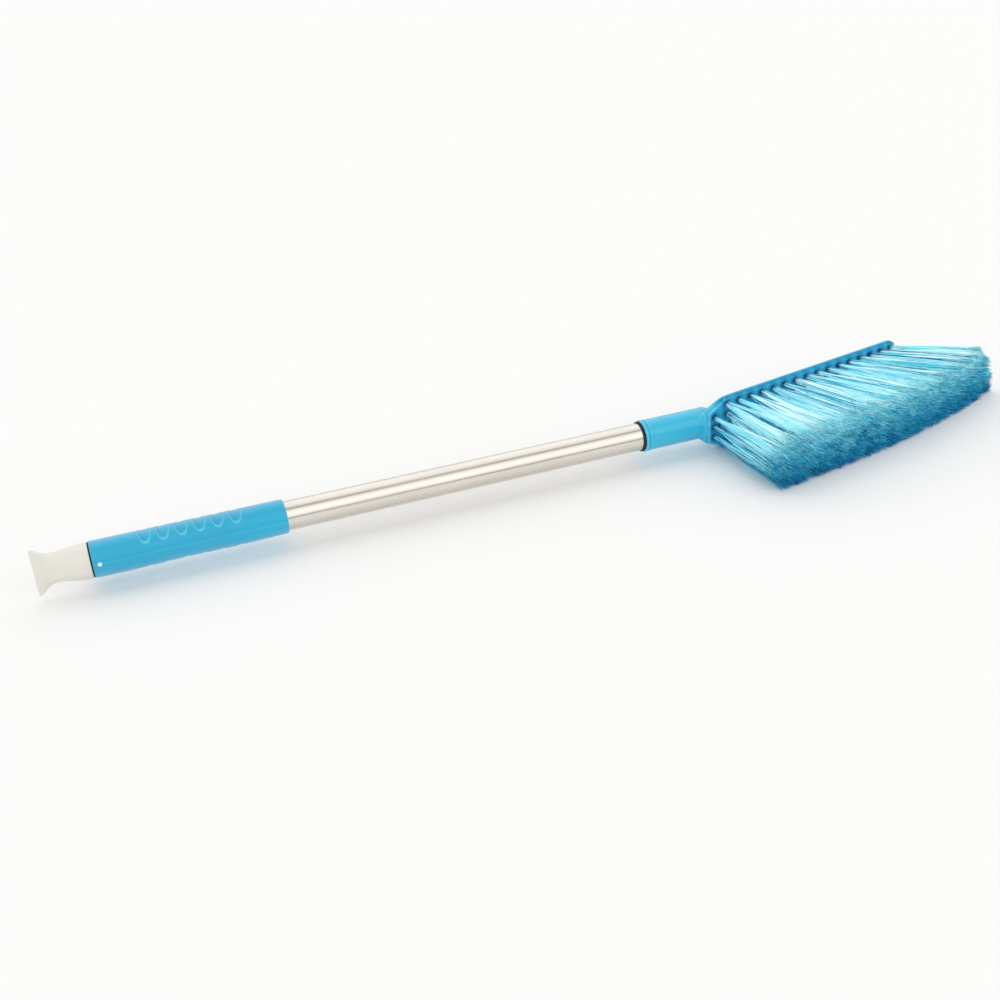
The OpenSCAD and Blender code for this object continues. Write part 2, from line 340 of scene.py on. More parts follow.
def moulded_plastic(name, colour, roughness, coat, sheen, painted_light):
    """Injection-moulded gloss plastic: slow colour drift, faint flow ripple, and hairline handling marks.

    The last argument maps the name of a vertex value to the stops that tint the colour by it: painted light
    and shade.
    Where the side-wall value is 1, the skin has no gloss, and the head's tints paint it darker as shade.
    """
    n = Nodes(name)
    drift = n.noise(22, 2, stretch=(0.5, 1, 1))
    body = n.ramp(drift, [(0.3, tinted(colour, 0.93)), (0.7, tinted(colour, 1.07))])
    # Each vertex value tints the colour as painted light and shade.
    for key, stops in painted_light.items():
        value = n.add("ShaderNodeAttribute", attribute_name=key).outputs["Fac"]
        body = multiplied(n, body, n.ramp(value, stops))
    n.set(Base_Color=body)
    marks = n.noise(900, 2, stretch=(0.12, 1, 1), rough=0.6)
    n.set(Roughness=n.levels(marks, 0.3, 0.75, roughness - 0.04, roughness + 0.1))
    ripple = n.noise(150, 3)
    n.set(Normal=n.bump(ripple, 0.05 * MM, 0.5))
    # The side-wall value takes the gloss away; the head's tints also paint those walls darker as shade.
    matt_and_shaded = n.add("ShaderNodeAttribute", attribute_name="matt_and_shaded").outputs["Fac"]
    n.set(Coat_Weight=n.levels(matt_and_shaded, 0, 1, coat, 0), Specular_IOR_Level=n.levels(matt_and_shaded, 0, 1, 0.5, 0.05))
    n.set(Coat_Roughness=0.12, IOR=1.49, Subsurface_Weight=0.04)
    n.set(Sheen_Weight=n.levels(matt_and_shaded, 0, 1, sheen, 0), Sheen_Roughness=0.5)
    n.shader.inputs["Subsurface Radius"].default_value = (2 * MM, 3 * MM, 4 * MM)
    return n.material


def ivory_plastic():
    n = Nodes("scraper_plastic")
    drift = n.noise(35, 3)
    n.set(Base_Color=n.ramp(drift, [(0.3, tinted(IVORY, 0.95)), (0.7, tinted(IVORY, 1.04))]))
    scuff = n.noise(600, 2, stretch=(1, 0.2, 0.2))
    n.set(Roughness=n.levels(scuff, 0.3, 0.75, 0.3, 0.46))
    n.set(Normal=n.bump(n.noise(220, 2), 0.04 * MM, 0.5))
    n.set(Coat_Weight=0.15, Coat_Roughness=0.25, Subsurface_Weight=0.12)
    n.shader.inputs["Subsurface Radius"].default_value = (3 * MM, 2.5 * MM, 2 * MM)
    return n.material


def drawn_steel(name, colour=(0.76, 0.72, 0.66)):
    """Stainless tube with fine lengthwise draw lines that spread its reflections round the tube."""
    n = Nodes(name)
    lines = n.noise(1, 2, stretch=(6, 1500, 1500), rough=0.7)
    cloud = n.noise(60, 3, stretch=(0.15, 1, 1))
    n.set(Base_Color=n.ramp(cloud, [(0.3, tinted(colour, 0.94)), (0.7, tinted(colour, 1.05))]))
    n.set(Roughness=n.levels(lines, 0.3, 0.7, 0.2, 0.34))
    n.set(Metallic=1.0, Normal=n.bump(lines, 0.004 * MM, 0.5))
    n.set(Anisotropic=0.6, Anisotropic_Rotation=0.25)
    tangent = n.add("ShaderNodeTangent", direction_type="RADIAL", axis="X")
    n.set(Tangent=tangent.outputs[0])
    return n.material


def bright_zinc():
    n = Nodes("zinc_steel")
    cloud = n.noise(120, 3)
    n.set(Base_Color=n.ramp(cloud, [(0.3, (0.58, 0.6, 0.62)), (0.7, (0.66, 0.68, 0.7))]), Metallic=1.0)
    n.set(Roughness=n.levels(n.noise(500, 3), 0.3, 0.7, 0.2, 0.42))
    n.set(Normal=n.bump(n.noise(900, 2), 0.01 * MM, 0.4))
    return n.material


def matt_plastic(name, colour, roughness=0.5):
    n = Nodes(name)
    n.set(Base_Color=n.ramp(n.noise(80, 3), [(0.3, tinted(colour, 0.85)), (0.7, tinted(colour, 1.15))]))
    n.set(Roughness=n.levels(n.noise(700, 2), 0.3, 0.7, roughness - 0.08, roughness + 0.1))
    n.set(Normal=n.bump(n.noise(1200, 2), 0.02 * MM, 0.5))
    return n.material


def ink_white():
    n = Nodes("print_white")
    n.set(Base_Color=n.ramp(n.noise(400, 2), [(0.3, (0.82, 0.84, 0.85)), (0.7, (0.93, 0.94, 0.94))]))
    n.set(Roughness=n.levels(n.noise(900, 2), 0.3, 0.7, 0.3, 0.45))
    return n.material


def bristle_material():
    """Soft split filament: each strand has its own shade, and is darker in its hole and towards the frayed
    tips, as painted shade.

    It also gives off a share of its own colour, less at the tips: a painted glow that stands in for light
    carried through the clear filaments.
    """
    n = Nodes("bristle")
    shade = n.add("ShaderNodeAttribute", attribute_name="strand").outputs["Fac"]
    along = n.add("ShaderNodeAttribute", attribute_name="along").outputs["Fac"]
    # Strand shades at random, from deep blue to near white; the palest are partly a painted highlight.
    body = n.ramp(
        shade,
        [
            (0.0, (0.0, 0.08, 0.2)),
            (0.25, (0.012, 0.42, 0.59)),
            (0.5, (0.18, 0.72, 0.81)),
            (0.75, (0.44, 0.86, 0.89)),
            (1.0, (0.95, 1.0, 0.98)),
        ],
    )
    # Painted shade: near black in the hole, and darker again towards the tips.
    ends = n.ramp(
        along,
        [
            (0.0, (0.0, 0.02, 0.05)),
            (0.035, (0.02, 0.12, 0.24)),
            (0.06, (0.85, 0.95, 1)),
            (0.7, (1, 1, 1)),
            (0.8, (0.62, 0.92, 0.96)),
            (0.9, (0.18, 0.67, 0.83)),
            (1.0, (0.003, 0.36, 0.71)),
        ],
    )
    colour = multiplied(n, body, ends)
    n.set(Base_Color=colour, Roughness=n.levels(shade, 0, 1, 0.45, 0.3), IOR=1.49)
    n.set(Specular_IOR_Level=n.levels(along, 0.6, 0.9, 0.45, 0.02))
    # Painted glow: a share of the colour given off as light, less at the tips.
    painted_glow = multiplied(n, colour, n.ramp(along, [(0.7, (1, 1, 1)), (1.0, (0.35, 0.35, 0.35))]))
    n.set(Emission_Color=painted_glow, Emission_Strength=0.3)
    return n.material


# Painted light and shade on the grip: shade in the pocket dishes, a highlight on their lips and the parting
# lines.
POCKET_PAINTED_LIGHT = {"pocket": [(0, (0.3, 0.74, 0.85)), (0.5, (1, 1, 1)), (1, (90, 1.5, 1.22))]}
# Painted light and shade on the head: shade in and between the tuft holes and in grooves, highlights on edges
# and beads, shade on the side walls.
HEAD_PAINTED_LIGHT = {
    "open_to_light": [(0, (0.0, 0.02, 0.06)), (0.5, (0.3, 0.5, 0.68)), (1, (1, 1, 1))],
    "edge": [(0, (1, 1, 1)), (1, (7, 1.35, 1.2))],
    "matt_and_shaded": [(0, (1, 1, 1)), (1, (0.1, 0.62, 0.76))],
}
GRIP_BLUE = moulded_plastic("grip_plastic", BLUE_GRIP, 0.36, 0.05, 0.5, POCKET_PAINTED_LIGHT)
HEAD_BLUE = moulded_plastic("head_plastic", BLUE_HEAD, 0.28, 0.35, 0.15, HEAD_PAINTED_LIGHT)
SCRAPER_WHITE = ivory_plastic()
TUBE_STEEL = drawn_steel("tube_steel")
ZINC = bright_zinc()
BLACK = matt_plastic("black_plastic", (0.01, 0.011, 0.013), 0.75)
BRISTLE = bristle_material()


# ---------------------------------------------------------------- scraper


def superellipse(half_y, half_z, square, sides):
    """A closed (y, z) outline that is an ellipse where square is 2, and nears a rectangle as square grows."""
    turn = np.linspace(0, 2 * math.pi, sides, endpoint=False)
    c, s = np.cos(turn), np.sin(turn)
    power = 2 / square
    return np.column_stack([
        -half_y * np.sign(c) * np.abs(c) ** power,
        half_z * np.sign(s) * np.abs(s) ** power,
    ])


SEAM_GAP = 1.3 * MM
SEAM_ROUND = 0.35 * MM
PARTING_AT = 0.06
PARTING_STEP = 0.011


def build_scraper():
    """Fishtail blade: round at the seam, a narrow neck, then a wide flat chisel edge across Z.

    Its sections are given at shares of the way from the seam to the chisel edge. Below the parting line, one
    half of the mould stands a little back.
    """
    sides = 120
    seam_x, seam_r = BUTT_X - SEAM_GAP, GRIP_R - SEAM_ROUND
    blade_l = seam_x - BLADE_TIP_X
    share = np.array([0.0, 0.2, 0.42, 0.6, 0.76, 0.88, 0.95, 0.98, 1.0])
    half_z = np.array([1.0, 0.995, 0.916, 0.843, 0.93, 1.15, 1.36, 1.4, 1.35]) * seam_r
    half_z[-4:] *= BLADE_HALF_W / half_z.max()
    half_y = np.array([1.0, 0.95, 0.77, 0.56, 0.375, 0.29, 0.15, 0.09, 0.045]) * seam_r
    shift = np.array([0, 0, 0.5, 0.9, 0.3, -1.3, -2.0, -2.3, -2.5]) * MM
    square = np.array([2.0, 2.0, 2.1, 2.4, 3.2, 4.6, 6.0, 7.0, 8.0])
    steps = np.concatenate([np.linspace(0, 0.9, 60), np.linspace(0.905, 1.0, 20)])
    rings = []
    spigot_r, chamfer = TUBE_R - 0.85 * MM, 0.6 * MM
    spigot = [(SPIGOT_END_X, spigot_r - chamfer), (SPIGOT_END_X - chamfer, spigot_r), (seam_x, spigot_r)]
    for x, r in spigot:
        ring = superellipse(r, r, 2, sides)
        rings.append(np.column_stack([np.full(sides, x), ring]))
    for inset in (0.5, 0.15):
        ring = superellipse(seam_r - inset * MM, seam_r - inset * MM, 2, sides)
        rings.append(np.column_stack([np.full(sides, seam_x - (0.5 - inset) * 0.2 * MM), ring]))
    for t in steps:
        across = spline(t, share, half_z)
        ring = superellipse(spline(t, share, half_y), across, spline(t, share, square), sides)
        over = ring[:, 1] / across - PARTING_AT
        below = np.clip(-over / 0.015, 0, 1)
        ring *= 1 - (PARTING_STEP * below * np.exp(-np.abs(over) / 0.12))[:, None]
        ring[:, 0] += spline(t, share, shift)
        x = seam_x - SEAM_ROUND - t * (blade_l - SEAM_ROUND)
        rings.append(np.column_stack([np.full(sides, x), ring]))
    verts, faces = loft(rings)
    mesh = mesh_of("scraper", verts, faces)
    place("scraper", mesh, "pole", SCRAPER_WHITE, ["scraper_blade"])


# ---------------------------------------------------------------- grip


POCKETS = 6
POCKET_PITCH = 14.7 * MM
POCKET_HALF = (4.9 * MM, 12.4 * MM)
FIRST_POCKET_X = BUTT_X + 43.4 * MM
POCKET_SQUARE = 2.4
LIP_H = 0.22 * MM
DISH_DEEP = 0.3 * MM
GRIP_NOSE_L = 4.5 * MM
GRIP_TAPER = 0.5 * MM
GRIP_WAVE = 0.3 * MM
SEAM_TURN = math.radians(8)
SEAM_STEP = 0.2 * MM
DOT_R = 1.7 * MM
DOT_FROM_BUTT = 5.5 * MM


def arc_from(turn, centre):
    """Distance round the sleeve from an angle."""
    return (np.mod(turn - centre + math.pi, 2 * math.pi) - math.pi) * GRIP_R


def pocket_relief(x, turn):
    """Height of the finger pockets over the plain sleeve, and a painted light and shade value that is 0.5 on
    the plain sleeve.

    Each pocket is a raised oval lip round a shallow dish that is deepest towards the butt. The lip gets a
    painted highlight, most of all at its ends; the dish gets a little painted shade, and its wall on the
    butt's side more.
    The parting lines get a faint painted highlight.
    """
    height, shade = np.zeros_like(turn), np.full_like(turn, 0.5)
    for side in (math.pi / 2, -math.pi / 2):
        arc = arc_from(turn, side)
        for i in range(POCKETS):
            across = (x - FIRST_POCKET_X - i * POCKET_PITCH) / POCKET_HALF[0]
            round_by = np.abs(arc / POCKET_HALF[1])
            reach = (abs(across) ** POCKET_SQUARE + round_by**POCKET_SQUARE) ** (1 / POCKET_SQUARE)
            lip = np.exp(-(((reach - 1) / 0.09) ** 2))
            dish = smoothstep((0.95 - reach) / 0.3) * np.clip(0.85 - 0.35 * across, 0, 1)
            wall = np.exp(-(((reach - 0.77) / 0.15) ** 2)) * np.clip(0.3 - across, 0, 1)
            height += LIP_H * lip - DISH_DEEP * dish
            # Painted highlight on the lips, painted shade in the dishes and on their butt-side walls.
            shade += lip * (0.2 + 0.3 * np.clip(round_by, 0, 1)) - 0.1 * dish - 0.5 * wall
    # Faint painted highlight along the parting lines.
    for side in (SEAM_TURN, SEAM_TURN + math.pi):
        shade += 0.16 * np.exp(-((arc_from(turn, side) / (0.4 * MM)) ** 2))
    return height, shade


def seam_relief(x, turn):
    """The mould's parting lines: along each side, one half stands a little proud of the other.

    They fade out at the butt, where the dot is printed.
    """
    height = np.zeros_like(turn)
    for side in (SEAM_TURN, SEAM_TURN + math.pi):
        arc = arc_from(turn, side)
        below = arc < 0 if side == SEAM_TURN else arc > 0
        height += SEAM_STEP * np.exp(-np.abs(arc) / (2.2 * MM)) * below
    return height * smoothstep((x - BUTT_X - 9 * MM) / (3 * MM))


def grip_stations():
    """(x, radius) along the sleeve's skin, closer together where the pockets are."""
    mouth_r = TUBE_R + 0.7 * MM
    pockets_from, pockets_to = FIRST_POCKET_X - 7 * MM, FIRST_POCKET_X + (POCKETS - 0.5) * POCKET_PITCH
    nose_x = GRIP_END_X - GRIP_NOSE_L
    plain = np.concatenate([
        np.arange(BUTT_X + 0.6 * MM, pockets_from, 1 * MM),
        np.arange(pockets_from, pockets_to, 0.36 * MM),
        np.arange(pockets_to, nose_x, 1 * MM),
    ])
    stations = [(BUTT_X, GRIP_R - 0.6 * MM), (BUTT_X + 0.18 * MM, GRIP_R - 0.18 * MM)]
    stations += [(x, GRIP_R - GRIP_TAPER * (x - BUTT_X) / (nose_x - BUTT_X)) for x in plain]
    end_r = GRIP_R - GRIP_TAPER
    for a in np.linspace(0, math.pi / 2, 20):
        nose_r = mouth_r + (end_r - mouth_r) * math.cos(a) ** 0.45
        stations.append((nose_x + math.sin(a) * GRIP_NOSE_L, nose_r))
    return stations


def build_grip():
    """The sleeve: finger pockets on its two sides and a shallow finger wave along its underside."""
    sides = 288
    bore_r = TUBE_R + 0.03 * MM
    skin = grip_stations()
    turn = np.linspace(0, 2 * math.pi, sides, endpoint=False)
    rings, painted_light = [], []
    for x, r in [*skin, (GRIP_END_X, bore_r), (BUTT_X, bore_r)]:
        radius, shade = np.full(sides, r), np.full(sides, 0.5)
        if BUTT_X + 0.5 * MM < x < GRIP_END_X - GRIP_NOSE_L / 2:
            height, shade = pocket_relief(x, turn)
            radius += height + seam_relief(x, turn)
            radius += GRIP_WAVE * math.sin((x - BUTT_X) / (15 * MM)) * np.clip(-np.sin(turn), 0, 1)
        rings.append(np.column_stack([np.full(sides, x), -radius * np.cos(turn), radius * np.sin(turn)]))
        painted_light.append(shade)
    mesh = mesh_of("grip", np.concatenate(rings), join_rings(len(rings), sides, closed=True))
    # The pocket values are painted light and shade.
    write_value(mesh, "pocket", np.concatenate(painted_light))
    place("grip", mesh, "pole", GRIP_BLUE, ["grip_sleeve"])


def build_index_dot():
    """A plain white printed dot near the grip's butt, bent to the sleeve."""
    sides, verts = 32, []
    for lift in (-0.3 * MM, 0.07 * MM):
        for ring in (1.0, 0.6, 0.2):
            for a in np.linspace(0, 2 * math.pi, sides, endpoint=False):
                turn = SEAM_TURN + ring * DOT_R * math.sin(a) / GRIP_R
                r = GRIP_R + lift
                x = BUTT_X + DOT_FROM_BUTT + ring * DOT_R * math.cos(a)
                verts.append((x, -r * math.cos(turn), r * math.sin(turn)))
    faces = join_rings(3, sides) + join_rings(3, sides, 3 * sides)
    for j in range(sides):
        k = (j + 1) % sides
        faces.append((j, k, 3 * sides + k, 3 * sides + j))
    faces += [tuple(range(2 * sides, 3 * sides)), tuple(range(5 * sides, 6 * sides))]
    place("index_dot", mesh_of("index_dot", verts, faces), "pole", ink_white())


# ---------------------------------------------------------------- brush head


def inset_polygon(corners, distance):
    """A convex polygon drawn in by a distance."""
    result, count = [], len(corners)
    middle = np.mean(corners, axis=0)
    for i in range(count):
        lines = []
        for a, b in ((corners[i - 1], corners[i]), (corners[i], corners[(i + 1) % count])):
            normal = np.array([b[1] - a[1], a[0] - b[0]])
            normal /= np.linalg.norm(normal)
            if normal @ (middle - a) < 0:
                normal = -normal
            lines.append((normal, normal @ a + distance))
        (n0, d0), (n1, d1) = lines
        result.append(np.linalg.solve(np.array([n0, n1]), np.array([d0, d1])))
    return np.array(result)


def rounded_polygon(corners, radii, count):
    """Points evenly spaced along a convex polygon with its corners rounded."""
    path, total = [], len(corners)
    for i in range(total):
        here = corners[i]
        to_a, to_b = corners[i - 1] - here, corners[(i + 1) % total] - here
        cut = min(radii[i], 0.45 * np.linalg.norm(to_a), 0.45 * np.linalg.norm(to_b))
        a, b = here + to_a / np.linalg.norm(to_a) * cut, here + to_b / np.linalg.norm(to_b) * cut
        for t in np.linspace(0, 1, 9):
            path.append((1 - t) ** 2 * a + 2 * t * (1 - t) * here + t**2 * b)
    path = np.array(path + [path[0]])
    length = np.concatenate([[0], np.cumsum(np.linalg.norm(np.diff(path, axis=0), axis=1))])
    at = np.linspace(0, length[-1], count, endpoint=False)
    return np.column_stack([np.interp(at, length, path[:, k]) for k in (0, 1)])


def block_corners():
    """Corners of the bristle face in the block's frame, as (x, z)."""
    half = [(0, NOSE_HALF_W), (SHOULDER_X, BLOCK_HALF_W), (BLOCK_L, BLOCK_HALF_W)]
    return np.array(half + [(x, -z) for x, z in half[::-1]])


BLOCK_CORNER_R = np.array([4, 8, 4, 4, 8, 4]) * MM
CROWN = [(0, 0), (3.5, 0), (7, 0.1), (8.4, 0.9), (9.5, 2.4), (10.3, 4.6), (10.8, 7.5), (11, 11)]


def block_rings():
    """Rings of the block from the bristle face up to its crowned back, at CROWN's (height, inset) in mm."""
    corners, sides = block_corners(), 240
    rings = []
    for height, inset in CROWN:
        outline = rounded_polygon(inset_polygon(corners, inset * MM), BLOCK_CORNER_R, sides)
        rings.append(np.column_stack([outline[:, 0], np.full(sides, height * MM), outline[:, 1]]))
    return rings


def neck_rings():
    """A flat plate that spreads from the socket's front to the width of the block in a concave flare.

    Its sections are given at steps past the end of the tube's seat.
    """
    knots = np.array([4, 8, 12, 15.5, 20, 26, 33]) * MM
    half_z = np.array([8, 11.2, 14.4, 16.8, 19, 22, 24.5]) * MM
    front_y = np.array([-12, -13.3, -14.5, -15.1, -14.2, -13, -11.5]) * MM
    back_y = np.array([-4.5, -4.6, -4.8, -5, -4.6, -3.9, -3.1]) * MM
    rings, sides = [], 120
    for step in np.linspace(knots[0], knots[-1], 48):
        front, back = spline(step, knots, front_y), spline(step, knots, back_y)
        square = 2.6 + 2 * step / knots[-1]
        ring = superellipse((back - front) / 2, spline(step, knots, half_z), square, sides)
        ring[:, 0] += (back + front) / 2
        rings.append(np.column_stack([np.full(sides, SEAT_END_X + step), ring]))
    return rings


def spine_rings():
    """A rib that runs out of the socket and dies away along the block's back."""
    start_x, start_r, end_r = SEAT_END_X + 8 * MM, 13.6 * MM, 4.5 * MM
    end = BLOCK @ Vector((0.47 * BLOCK_L, 8.5 * MM, 0))
    rings, sides = [], 96
    for t in np.linspace(0, 1, 36):
        radius = start_r + (end_r - start_r) * t**0.8
        ring = superellipse(radius * (1 - 0.35 * t), radius, 2, sides)
        ring[:, 0] += end.y * t
        rings.append(np.column_stack([np.full(sides, start_x + (end.x - start_x) * t), ring]))
    return rings


SOCKET_R = 14.25 * MM
SOCKET_CLEARANCE = 0.03 * MM
LIP_CREST_X = MOUTH_X + 1.3 * MM
GROOVE_X = MOUTH_X + 3.7 * MM
BEAD_X = MOUTH_X + 5.3 * MM
END_BEAD_X = SEAT_END_X + 12.1 * MM
END_GROOVE_X = SEAT_END_X + 13.3 * MM


def socket_profile():
    """Closed (x, radius) profile: rolled lip, groove, bead, plain barrel, end bead and the tube's seat."""
    lip, groove, bead = SOCKET_R + 0.5 * MM, SOCKET_R - 0.4 * MM, SOCKET_R + 0.3 * MM
    seat_r, x = INNER_R + SOCKET_CLEARANCE, MOUTH_X
    end = SEAT_END_X + 20.9 * MM
    points = [(x, seat_r), (x, lip - 0.8 * MM)]
    for a in np.linspace(0.15 * math.pi, 0.95 * math.pi, 9):
        points.append((x + 1.5 * MM - 1.5 * MM * math.cos(a), lip - 0.9 * MM + 0.9 * MM * math.sin(a)))
    points += [(x + 3.3 * MM, groove), (x + 4.0 * MM, groove)]
    for a in np.linspace(0.2 * math.pi, 0.9 * math.pi, 7):
        points.append((BEAD_X - 1.1 * MM * math.cos(a), bead - 0.55 * MM + 0.55 * MM * math.sin(a)))
    barrel = (6.9, 7.6, 15, 25, 35, 44, 52, *np.arange(53, 62, 0.6))
    points += [(step * MM + x, SOCKET_R) for step in barrel]
    back_from_end = [(5.2, 0), (4.6, 0.25), (3.8, 0.25), (3.2, -0.1), (1.5, -0.3), (0, -1.8)]
    points += [(end - step * MM, SOCKET_R + rise * MM) for step, rise in back_from_end]
    core_r = 0.5 * MM
    points += [(end, core_r), (SEAT_END_X, core_r), (SEAT_END_X, seat_r)]
    return points


def hole_tools():
    """Cylinders along the tufts, which cut their holes."""
    verts, faces, sides = [], [], 18
    turn = np.linspace(0, 2 * math.pi, sides, endpoint=False)
    for tuft in (t for tufts in TUFTS.values() for t in tufts):
        axis = Vector(tuft["outer"] - tuft["inner"]).normalized()
        side = axis.orthogonal().normalized()
        other = axis.cross(side)
        base = len(verts)
        for depth in (0.1 * MM, HOLE_DEEP + 4 * MM):
            centre = Vector(tuft["inner"]) + axis * depth
            r = tuft["inner_r"] + 0.05 * MM
            verts += [centre + side * (r * math.cos(a)) + other * (r * math.sin(a)) for a in turn]
        faces += join_rings(2, sides, base)
        faces += [tuple(range(base, base + sides))[::-1], tuple(range(base + sides, base + 2 * sides))]
    return mesh_of("holes", verts, faces)


def shade_head(mesh):
    """Vertex values for painted light and shade in the moulding's colour.

    open_to_light, a painted shade, falls to 0 in the tuft holes, and is low between them and in the socket's
    grooves.
    edge, a painted highlight, is high on the nose's rim, on the back edge of the block and on the socket's
    beads.
    The side-wall value is 1 on the block's side walls, which lose their gloss and get painted shade.
    """
    points = np.empty(len(mesh.vertices) * 3, np.float32)
    mesh.vertices.foreach_get("co", points)
    points = points.reshape(-1, 3)
    near = np.full(len(points), 1.0)
    for tuft in (tuft for tufts in TUFTS.values() for tuft in tufts):
        near = np.minimum(near, np.linalg.norm(points - face_point(tuft), axis=1))
    local = (points - np.array(BLOCK.translation)) @ np.array(BLOCK.to_3x3())
    inside = np.full(len(points), 1.0)
    corners = block_corners()
    for a, b in zip(corners, np.roll(corners, -1, axis=0), strict=True):
        normal = np.array([b[1] - a[1], a[0] - b[0]]) / np.linalg.norm(b - a)
        inside = np.minimum(inside, (a - local[:, [0, 2]]) @ normal * -1)
    behind_face = points[:, 1] > BLOCK.translation.y + 1 * MM

    def band(centre, width):
        return np.exp(-(((points[:, 0] - centre) / width) ** 2)) * behind_face

    # Painted shade in the tuft holes, between the tufts and in the socket's grooves.
    open_to_light = 0.5 * smoothstep((near - 2.1 * MM) / (0.8 * MM))
    open_to_light += 0.5 * smoothstep((near - 3 * MM) / (5 * MM))
    open_to_light -= 0.3 * band(GROOVE_X, 0.6 * MM) + 0.3 * band(END_GROOVE_X, 0.5 * MM)
    write_value(mesh, "open_to_light", open_to_light)
    # Painted highlight on the nose's rim, the block's back edge and the socket's beads.
    from_rim = np.hypot(inside - 0.4 * MM, local[:, 1] - 0.4 * MM)
    at_back = smoothstep(local[:, 1] / MM - 5) * smoothstep(9 - local[:, 1] / MM) * (inside < 2.5 * MM)
    past_shoulder = smoothstep((local[:, 0] - SHOULDER_X) / (8 * MM))
    edge = smoothstep(1.4 - from_rim / (1.1 * MM)) * (1 - 0.85 * past_shoulder)
    edge += 0.8 * at_back * past_shoulder
    edge += 0.5 * band(LIP_CREST_X, 0.7 * MM) + 0.4 * band(BEAD_X, 0.5 * MM)
    edge += 0.4 * band(END_BEAD_X, 0.5 * MM)
    write_value(mesh, "edge", edge)
    # Painted shade, with no gloss, on the block's side walls.
    wall = (inside < 0.7 * MM) & (local[:, 1] > 0.2 * MM) & (local[:, 1] < 5.4 * MM)
    write_value(mesh, "matt_and_shaded", wall * smoothstep((local[:, 0] - 4 * MM) / (12 * MM)))


def build_head():
    """One blue moulding: the block, the neck that spreads into it, a spine along its back and the socket."""
    block = [np.array([(BLOCK @ Vector(p))[:] for p in ring]) for ring in block_rings()]
    verts, faces, offset = [], [], 0
    for body in (loft(block), loft(neck_rings()), loft(spine_rings())):
        verts.append(body[0])
        faces += [tuple(i + offset for i in face) for face in body[1]]
        offset += len(body[0])
    voxel = 0.7 * MM
    soft = baked(
        mesh_of("block", np.concatenate(verts), faces),
        ("REMESH", {"mode": "VOXEL", "voxel_size": voxel}),
        ("SMOOTH", {"factor": 0.5, "iterations": 6}),
    )
    whole = carved(soft, mesh_of("socket", *revolve(socket_profile(), 144)), "UNION")
    whole = carved(whole, hole_tools(), "DIFFERENCE")
    shade_head(whole)
    place("head", whole, "head_section", HEAD_BLUE, ["brush_head"])


def build_head_screw():
    """Pan-head screw with a cross recess, in the back of the socket."""
    box_low, box_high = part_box("head_screw")
    x, top, r = (box_low.x + box_high.x) / 2, box_high.y, (box_high.x - box_low.x) / 2
    core_r, shank_r, head_h, dome_h = 0.2 * MM, 1.9 * MM, 2.3 * MM, 1.5 * MM
    profile = [(box_low.y, core_r), (box_low.y, shank_r), (top - head_h, shank_r)]
    profile += [(top - head_h, r - 0.2 * MM), (top - head_h + 0.2 * MM, r), (top - dome_h, r)]
    for a in np.linspace(0.2, 1.5, 9):
        profile.append((top - dome_h + dome_h * math.sin(a), r * (0.35 + 0.65 * math.cos(a))))
    profile += [(top, core_r)]
    verts, faces = revolve(profile, 64)
    screw = mesh_of("screw", np.column_stack([x + verts[:, 1], verts[:, 0], verts[:, 2]]), faces)
    half_l, half_w = 2.3 * MM, 0.55 * MM
    for along_x in (True, False):
        rings = []
        for y, grow in ((top - 1.4 * MM, 0.55), (top + 0.5 * MM, 1.1)):
            a, b = (half_l * grow, half_w) if along_x else (half_w, half_l * grow)
            rings.append(np.array([(x - a, y, -b), (x + a, y, -b), (x + a, y, b), (x - a, y, b)]))
        screw = carved(screw, mesh_of("slot", *loft(rings)), "DIFFERENCE")
    place("screw", screw, "head_section", ZINC, ["head_screw"])


# ---------------------------------------------------------------- bristles


STRANDS_PER_TUFT = 225
STRAND_STEPS = 6
FLAG_STEPS = 3
WISPS = 24
STRAND_R = (0.13 * MM, 0.2 * MM)
FLAG_R = 0.1 * MM
ROOT_JITTER = 0.16 * MM
WISP_BOW = 0.7 * MM
STRAND_BOW = 0.3 * MM
FRAY = 0.5 * MM
STRAY_SHARE = 0.015
STRAY_BOW = 7
CORNER_CUT = 14 * MM
CORNER_L = 35 * MM
FAR_END_LOWER = 3.5 * MM
LOWEST_Z = FLOOR_Z + 0.3 * MM
HIGHEST_Z = BLOCK_HALF_W + 0.5 * MM

# How far a tuft's strands reach from its axis at their tips: along the brush, and in height.
TIP_REACH = (13 * MM, 5.8 * MM)

# A tuft's mean shade at Z 0 and its rise with height, which is painted light from above, and the spread round
# it of wisps and of strands.
MEAN_SHADE = 0.44
TOP_LIGHT_PER_M = 9
WISP_SHADES = 0.28
STRAND_SHADES = 0.24

# How far along the material's end colours a strand's tip gets at the top, and how much further low down:
# painted shade on the tips, deeper low on the brush.
PAINTED_TIP_SHADE = 0.79
PAINTED_TIP_SHADE_LOW = 0.22


def rim_curve():
    """The trimmed end of the brush: points through the middle tufts' ends, and the length along them."""
    first = min(TUFTS["bristles_nose"], key=lambda tuft: abs(tuft["outer"][2]))
    tufts = [first, *CENTRE_ROW, *TUFTS["bristles_inner_top"]]
    ends = np.array(sorted([tuple(tuft["outer"][:2]) for tuft in tufts]))
    steps = np.linalg.norm(np.diff(ends, axis=0), axis=1)
    return ends, np.concatenate([[0], np.cumsum(steps)])


RIM, RIM_AT = rim_curve()
RIM_OVER = 4.5 * MM


def on_rim(at):
    """Points of the trimmed end at lengths along it, carried on straight past its last tufts."""
    place_at = np.clip(at, 0, RIM_AT[-1])
    flat = np.column_stack([np.interp(place_at, RIM_AT, RIM[:, k]) for k in (0, 1)])
    ends = (RIM[0] - RIM[1]) / RIM_AT[1], (RIM[-1] - RIM[-2]) / (RIM_AT[-1] - RIM_AT[-2])
    return flat + np.maximum(-at, 0)[:, None] * ends[0] + np.maximum(at - RIM_AT[-1], 0)[:, None] * ends[1]


